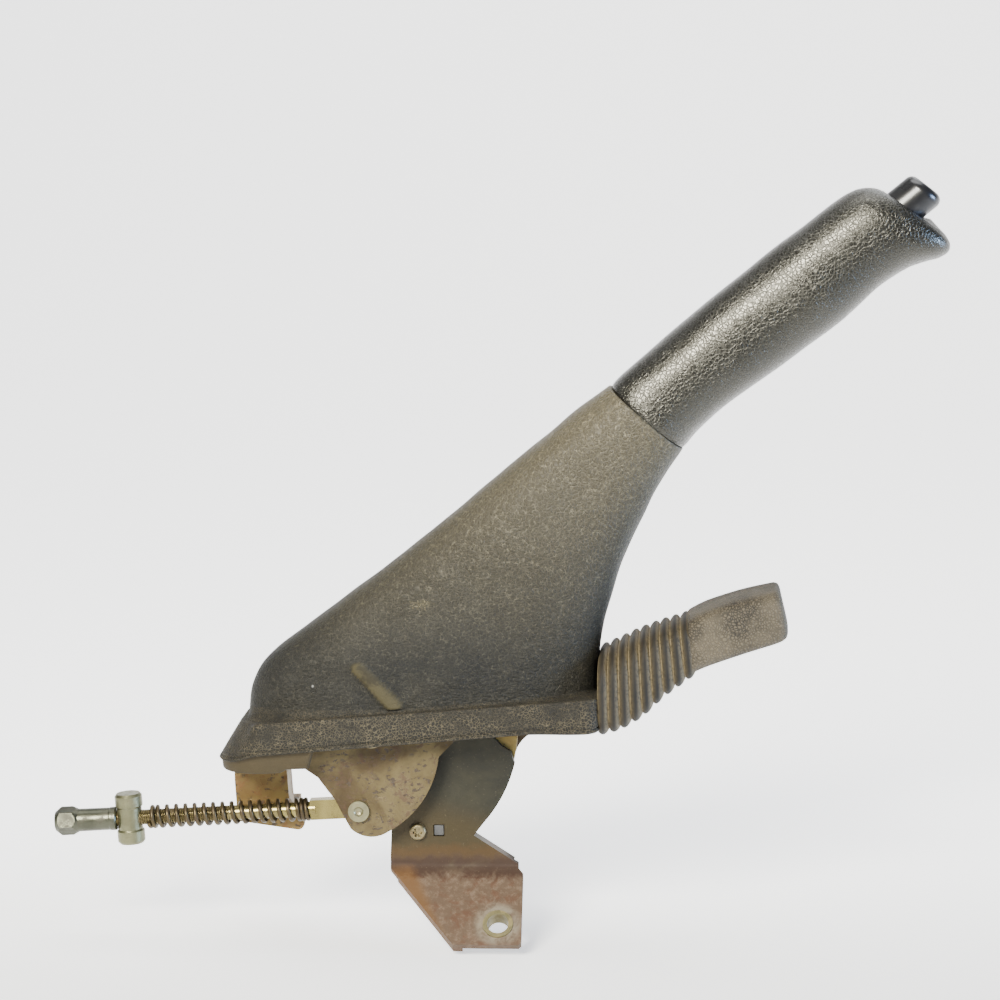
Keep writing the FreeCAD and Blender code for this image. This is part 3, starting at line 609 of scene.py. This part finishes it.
def build_gaiter():
    skin = Skin()
    outer = band_plan(BAND_REAR, BAND_FRONT, BAND_HALF, 19.0, 5.0)
    inner = band_plan(BAND_REAR + BAND_WALL, BAND_FRONT - BAND_WALL, BAND_HALF - BAND_WALL, 16.0, 3.5)

    def drawn(inset, height_of, **marks):
        """Hoop inset mm inside the band's outer face, at the height that height_of gives."""
        hoop = []
        for p, q in zip(outer, inner):
            away = (q - p).normalized() * inset
            slant = 0.62 * max(height_of(p.x) - band_low(p.x), 0.0) * smoothstep(-40.0, -58.0, p.x)
            inward = Vector((1, 0, 0)) * slant
            r = p + away + inward
            hoop.append(at(r.x, r.y, height_of(p.x)))
        skin.hoop(hoop, **marks)

    # from inside the skirt, round the flap, the bead and the band, and onto the wall
    drawn(BAND_WALL, lambda x: band_low(x) + 6.0, join=False, rim=1.0)
    drawn(BAND_WALL, lambda x: lip_low(x) + 0.3, rim=1.0, lip=1.0)
    drawn(BAND_WALL - 0.4, lip_low, rim=1.0, lip=1.0)
    drawn(LIP_INSET + 0.3, lip_low, rim=1.0, lip=1.0)
    drawn(LIP_INSET, lambda x: lip_low(x) + 0.4, rim=1.0, lip=1.0)
    drawn(LIP_INSET - 0.3, lambda x: (lip_low(x) + band_low(x) * 2) / 3, rim=1.0, lip=1.0)
    drawn(LIP_INSET - 0.3, lambda x: band_low(x) + 0.3, rim=1.0, lip=1.0)
    for inset, rise, stain in BEAD:
        drawn(inset, lambda x, rise=rise: band_low(x) + rise, rim=1.0, lip=stain)
    for share in (0.35, 0.6, 0.85, 0.95):
        drawn(0.0, lambda x, share=share: band_low(x) + (band_top(x) - band_low(x)) * share, rim=1.0)
    drawn(0.25, lambda x: band_top(x) - 0.15, rim=1.0)
    drawn(0.9, band_top, rim=1.0)
    edge = skin.points[-ROUND:]
    wall = gaiter_hoop(WALL_START)
    for share, drop, mark in ((0.45, -0.1, 0.9), (0.85, -0.35, 0.6), (0.985, 0.0, 0.4)):
        hoop = []
        for p, w in zip(edge, wall):
            goal = at(w.x, w.y, max(w.z, band_top(w.x) + WALL_CLEAR))
            level = p.lerp(goal, share)
            level.z = p.z + (goal.z - p.z) * max(share * 2 - 1, 0.0) ** 3 + drop * MM
            hoop.append(level)
        skin.hoop(hoop, rim=mark)
    last = len(GAITER) - 1
    for i in range(WALL_STEPS + 1):
        t = WALL_START + (last - WALL_START) * i / WALL_STEPS
        hoop, ribs = [], []
        for p, q in zip(gaiter_hoop(t), gaiter_hoop(t, 1.0)):
            d, s = distance_to(*SIDE_RIB, (p.x, p.z))
            swell = smoothstep(RIB_HALF + 0.7 + 0.5 * s, RIB_HALF - 0.8 + 0.5 * s, d)
            if abs(p.y) <= RIB_CLEAR:
                swell = 0.0
            spot = Vector((p.x, p.y, p.z))
            lump = noise.noise(spot * 0.035) * 0.9 + noise.noise(spot * 0.09) * 0.3
            settled = min(i / 18, 1.0) * min((WALL_STEPS - i) / 30, 1.0)
            r = p + (p - q).normalized() * (RIB_RAISE * swell + lump * settled)
            top = band_top(min(max(p.x, BAND_REAR), BAND_FRONT)) + WALL_CLEAR
            hoop.append(at(r.x, r.y, max(r.z, top) if i < WALL_STEPS // 4 else r.z))
            ribs.append(swell)
        skin.hoop(hoop, rib=ribs)
    # the collar turns in against the grip
    for wall_in, ahead in COLLAR:
        skin.hoop([at(*(p + ALONG_LEVER * ahead)) for p in gaiter_hoop(last, wall_in)])
    made = piece("gaiter_boot", skin.points, skin.faces, "gaiter_rubber", None, ("gaiter",), skin.marks)
    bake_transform(made)


build_gaiter()

# ------------------------------------------------------------------ bellows tongue
FOLDS, FOLD_PITCH, FOLD_DEPTH, FOLD_STEPS, FOLD_START = 9, 4.0, 1.9, 14, 90.0
BELLOWS_ROUND = 120
PAD_STEPS = 6
FOLD_TOP = [(88.0, 31.2), (98.0, 36.0), (106.0, 40.0), (114.0, 43.2), (128.0, 47.8)]
FOLD_LOW = [(88.0, -0.6), (98.0, 1.8), (106.0, 6.8), (114.0, 14.8), (128.0, 25.2)]
# rear x and z, front x and z, half width and squareness of the pad's sections
PAD = [(124.4, 44.6, 126.2, 25.6, 15.0, 3.4), (125.0, 46.2, 126.6, 24.8, 16.6, 4.4),
       (126.6, 47.4, 127.8, 25.4, 17.2, 5.4), (133.4, 50.6, 134.2, 28.2, 17.4, 6.0),
       (145.7, 54.6, 147.4, 32.8, 17.4, 6.0), (156.0, 57.0, 159.2, 36.6, 17.3, 6.0),
       (159.6, 57.6, 162.8, 38.2, 17.0, 5.4), (161.2, 56.4, 164.2, 39.8, 15.6, 4.4),
       (162.0, 53.2, 164.4, 42.8, 11.6, 3.4)]


def along(track, x):
    """Height at x of a line through (x, z) points."""
    for (xa, za), (xb, zb) in zip(track, track[1:]):
        if x <= xb:
            return za + (zb - za) * (x - xa) / (xb - xa)
    return track[-1][1]


def build_bellows():
    skin = Skin()
    for i in range(FOLDS * FOLD_STEPS + 1):
        x = FOLD_START + FOLD_PITCH * i / FOLD_STEPS
        phase = (i % FOLD_STEPS) / FOLD_STEPS
        crest = abs(math.sin(math.pi * phase)) ** 0.7
        depth = FOLD_DEPTH * (1.0 - crest)
        top, low = along(FOLD_TOP, x), along(FOLD_LOW, x)
        half = 26.6 - 9.2 * (x - FOLD_START) / 36 - depth
        lean = 0.1 * (x - FOLD_START) / 34
        hoop = rounded((x, top - depth), (x + lean * (top - low), low + depth), half, 3.4,
                       BELLOWS_ROUND)
        # the tan share: full in each valley, strong on the flank after each crest and about half on the flank
        # before it
        groove_tan = (1.0 - crest) ** 0.6 * smoothstep(0.35, 0.75, phase if phase else 1.0)
        skin.hoop([at(*p) for p in hoop], join=i > 0, groove=max(groove_tan, 0.5 * (1 - crest)), pad=0.0)
    for i in range((len(PAD) - 1) * PAD_STEPS + 1):
        x0, z0, x1, z1, half, power = smooth_track(PAD, i / PAD_STEPS)
        hoop = rounded((x0, z0), (x1, z1), half, power, BELLOWS_ROUND)
        skin.hoop([at(*p) for p in hoop], pad=smoothstep(0, 5, i))
    # the pad's end is closed by a fan round its middle
    start = len(skin.points) - BELLOWS_ROUND
    skin.points.append(sum(skin.points[start:], Vector()) / BELLOWS_ROUND)
    for values in skin.marks.values():
        values.append(1.0 if values[-1] > 0.5 else 0.0)
    for i in range(BELLOWS_ROUND):
        skin.faces.append((start + i, start + (i + 1) % BELLOWS_ROUND, len(skin.points) - 1))
    piece("bellows", skin.points, skin.faces, "bellows_rubber", "base", ("bellows_tongue",), skin.marks)


build_bellows()

# ------------------------------------------------------------------ grip
GRIP_ROUND, GRIP_STEPS = 128, 8
# along and above the lever axis at the top and at the underside, half width and squareness
STATIONS = [(160.0, 45.4, 167.2, 10.4, 17.3, 2.3), (162.4, 47.0, 169.2, 10.6, 17.6, 2.3),
            (172, 47.8, 176, 12.0, 17.2, 2.35), (186, 48.2, 188, 12.6, 16.8, 2.4),
            (203, 48.4, 203, 11.8, 16.6, 2.4), (222, 48.3, 221, 10.6, 16.6, 2.4),
            (240, 48.1, 240, 9.9, 16.6, 2.4), (255, 48.0, 255, 10.4, 16.6, 2.4),
            (266, 47.8, 267, 10.9, 16.5, 2.4), (275, 47.2, 278, 9.8, 16.5, 2.45),
            (281, 45.9, 285, 7.4, 16.2, 2.5), (285.0, 43.9, 290, 5.2, 15.4, 2.5),
            (287.8, 41.4, 294.2, 4.8, 14.2, 2.5), (289.4, 38.9, 296.6, 6.8, 12.4, 2.5),
            (289.9, 37.6, 297.4, 10.4, 10.4, 2.3)]
WELL = ((-0.6, 10.2), (-1.6, 8.8), (-3.2, 8.35), (-12.0, 8.3))


def build_grip():
    skin = Skin()

    def hoop_of(row):
        top, low = flat(on_lever(row[0], row[1])), flat(on_lever(row[2], row[3]))
        return rounded(top, low, row[4], row[5], GRIP_ROUND)

    for i in range((len(STATIONS) - 1) * GRIP_STEPS + 1):
        hoop = hoop_of(smooth_track(STATIONS, i / GRIP_STEPS))
        centre = sum(hoop, Vector()) / GRIP_ROUND
        wave = []
        for p in hoop:
            lump = noise.noise(p * 0.05) * 0.5
            wave.append(p + (p - centre).normalized() * lump)
        skin.hoop([at(*p) for p in wave], join=i > 0)
    # the end face falls in to the button's well
    axis_start = on_lever(0, AXIS_OFFSET)
    mouth = []
    for p in hoop_of(STATIONS[-1]):
        across = at(*p) - axis_start
        a = across.dot(ALONG_LEVER)
        side = across - ALONG_LEVER * a
        mouth.append((a, side.normalized()))
    for inward, radius in WELL:
        skin.hoop([axis_start + ALONG_LEVER * (a + inward * MM) + side * radius * MM
                   for a, side in mouth])
    piece("hand_grip", skin.points, skin.faces, "grip_vinyl", "lever", ("grip",), skin.marks)


build_grip()


# ------------------------------------------------------------------ springs
COIL_STEPS = 26


def spring(name, wire, mean_r, start, ahead, turns, finish, replaced):
    """Coil spring that winds from start along ahead. turns lists (turn count, pitch) runs from the start."""
    side = Vector((0, 1, 0))
    up = ahead.cross(side)
    line, far, angle = [], 0.0, 0.0
    for count, pitch in turns:
        for _ in range(int(count * COIL_STEPS)):
            around = side * math.cos(angle) + up * math.sin(angle)
            line.append(start + ahead * far * MM + around * mean_r * MM)
            angle += 2 * math.pi / COIL_STEPS
            far += pitch / COIL_STEPS
    points, faces = tube_line(line, wire / 2 * MM)
    made = piece(name, points, faces, finish, None, (replaced,))
    tuple(start + ahead * 6 * MM)
    tuple(start + ahead * (far - 2) * MM)
    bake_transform(made)
    return made


spring("rod_spring_wire", 1.7, 3.95, ROD_START - TO_EYE * 20.8 * MM, -TO_EYE,
       [(2.6, 1.72), (15.4, 3.75), (1.5, 1.75)], "spring_steel",
       "pull_rod_spring")
spring("release_spring_wire", 1.5, 4.6, on_lever(227.0, AXIS_OFFSET), ALONG_LEVER,
       [(1, 1.6), (4.2, 4.4), (1, 1.6)], "spring_steel", "release_spring")

# ------------------------------------------------------------------ finishes and edges of the metal parts
for name, node in frame["nodes"].items():
    if node.hide_render:
        continue
    slot = next(s["material_slot"] for s in frame["record"]["subparts"] if s["node"] == name)
    if node.data.materials:
        for i in range(len(node.data.materials)):
            node.data.materials[i] = FINISHES[slot]
    else:
        node.data.materials.append(FINISHES[slot])
    worn = node.modifiers.new("worn_edges", "BEVEL")
    worn.width, worn.segments, worn.limit_method = 0.35 * MM, 2, "ANGLE"
    worn.angle_limit = math.radians(35)

# ------------------------------------------------------------------ room, light and camera
FLOOR_GAP = 0.002
FLOOR_FRONT, CURVE_START, CURVE_R, CURVE_STEPS = -4.0, 1.6, 1.2, 12
SWEEP_HALF, SWEEP_TOP = 5.0, 4.5


def sweep():
    """Floor that curves up into the backdrop, darker in front, and glowing as a light though it is no lamp: most
    behind the object and low down, little in front and high up.
    """
    profile = [(FLOOR_FRONT, 0.0), (CURVE_START, 0.0)]
    for i in range(1, CURVE_STEPS + 1):
        t = math.pi / 2 * i / CURVE_STEPS
        profile.append((CURVE_START + CURVE_R * math.sin(t), CURVE_R - CURVE_R * math.cos(t)))
    profile.append((CURVE_START + CURVE_R, SWEEP_TOP))
    floor = cad_box[0].z - FLOOR_GAP
    points = [Vector((x, y, z + floor)) for x in (-SWEEP_HALF, SWEEP_HALF) for y, z in profile]
    n = len(profile)
    faces = [(i, i + 1, n + i + 1, n + i) for i in range(n - 1)]
    mesh = bpy.data.meshes.new("studio_sweep")
    mesh.from_pydata([tuple(p) for p in points], [], faces)
    for polygon in mesh.polygons:
        polygon.use_smooth = True
    f = Finish("studio_paper")
    _, y, z = f.split()
    pale = f.mix(y.rise(-0.75, -0.1), (0.40, 0.40, 0.40), (0.90, 0.90, 0.90))
    paper = f.finished(pale, 0.9, Specular_IOR_Level=0.1, Emission_Strength=1.7)
    # the glow lights the object from behind and below, as a lamp would
    glow = f.mix(y.rise(-0.2, 0.3) * z.rise(1.1, 0.45), (0.12, 0.12, 0.12), (1.0, 1.0, 1.0))
    f.feed(f.shader.inputs["Emission Color"], glow)
    mesh.materials.append(paper)
    made = bpy.data.objects.new("studio_sweep", mesh)
    bpy.context.scene.collection.objects.link(made)


sweep()


def lamp(name, place, target, size, power, colour, spread):
    """Round soft light at place, facing target, that spreads over so many degrees."""
    light = bpy.data.lights.new(name, "AREA")
    light.shape, light.size, light.energy, light.color = "DISK", size, power, colour
    light.spread = math.radians(spread)
    made = bpy.data.objects.new(name, light)
    made.location = place
    made.rotation_euler = (target - place).to_track_quat("-Z", "Y").to_euler()
    bpy.context.scene.collection.objects.link(made)


middle = at(50, 0, 60)
lamp("key", middle + Vector((-0.45, -1.32, 0.74)), middle, 0.7, 13.5, (1.0, 0.965, 0.86), 70)
lamp("fill", middle + Vector((1.5, -0.35, 0.0)), middle, 0.7, 8.0, (0.42, 0.62, 1.0), 70)
lamp("rim_light", middle + Vector((0.6, 1.4, 1.5)), middle, 1.0, 2.0, (0.92, 0.96, 1.0), 90)
lamp("backdrop_light", middle + Vector((0.0, 0.6, 2.4)), middle + Vector((0, 2.2, 0)), 2.4, 60,
     (1.0, 1.0, 1.0), 150)

world = bpy.data.worlds.new("soft_room")
world.use_nodes = True
world.node_tree.nodes["Background"].inputs[0].default_value = (0.88, 0.94, 1.0, 1.0)
world.node_tree.nodes["Background"].inputs[1].default_value = 0.14
bpy.context.scene.world = world

VIEW_TURN, VIEW_RISE, VIEW_ROLL = 4.0, 8.0, -0.6
VIEW_DISTANCE, VIEW_WIDTH = 1.2, 0.4
AIM_RIGHT, AIM_ABOVE = 0.0511, 0.0907
SENSOR = 36.0
turn, rise = math.radians(VIEW_TURN), math.radians(VIEW_RISE)
back = Vector((math.sin(turn) * math.cos(rise), -math.cos(turn) * math.cos(rise), math.sin(rise)))
right = Vector((math.cos(turn), math.sin(turn), 0))
above = back.cross(right)
aim = PIVOT + right * AIM_RIGHT + above * AIM_ABOVE
eye = bpy.data.cameras.new("camera")
eye.sensor_width = SENSOR
eye.lens = SENSOR * VIEW_DISTANCE / VIEW_WIDTH
eye.clip_end = 50.0
camera = bpy.data.objects.new("camera", eye)
camera.location = aim + back * VIEW_DISTANCE
aimed = (-back).to_track_quat("-Z", "Y") @ Quaternion((0, 0, 1), math.radians(VIEW_ROLL))
camera.rotation_euler = aimed.to_euler()
bpy.context.scene.collection.objects.link(camera)
bpy.context.scene.camera = camera
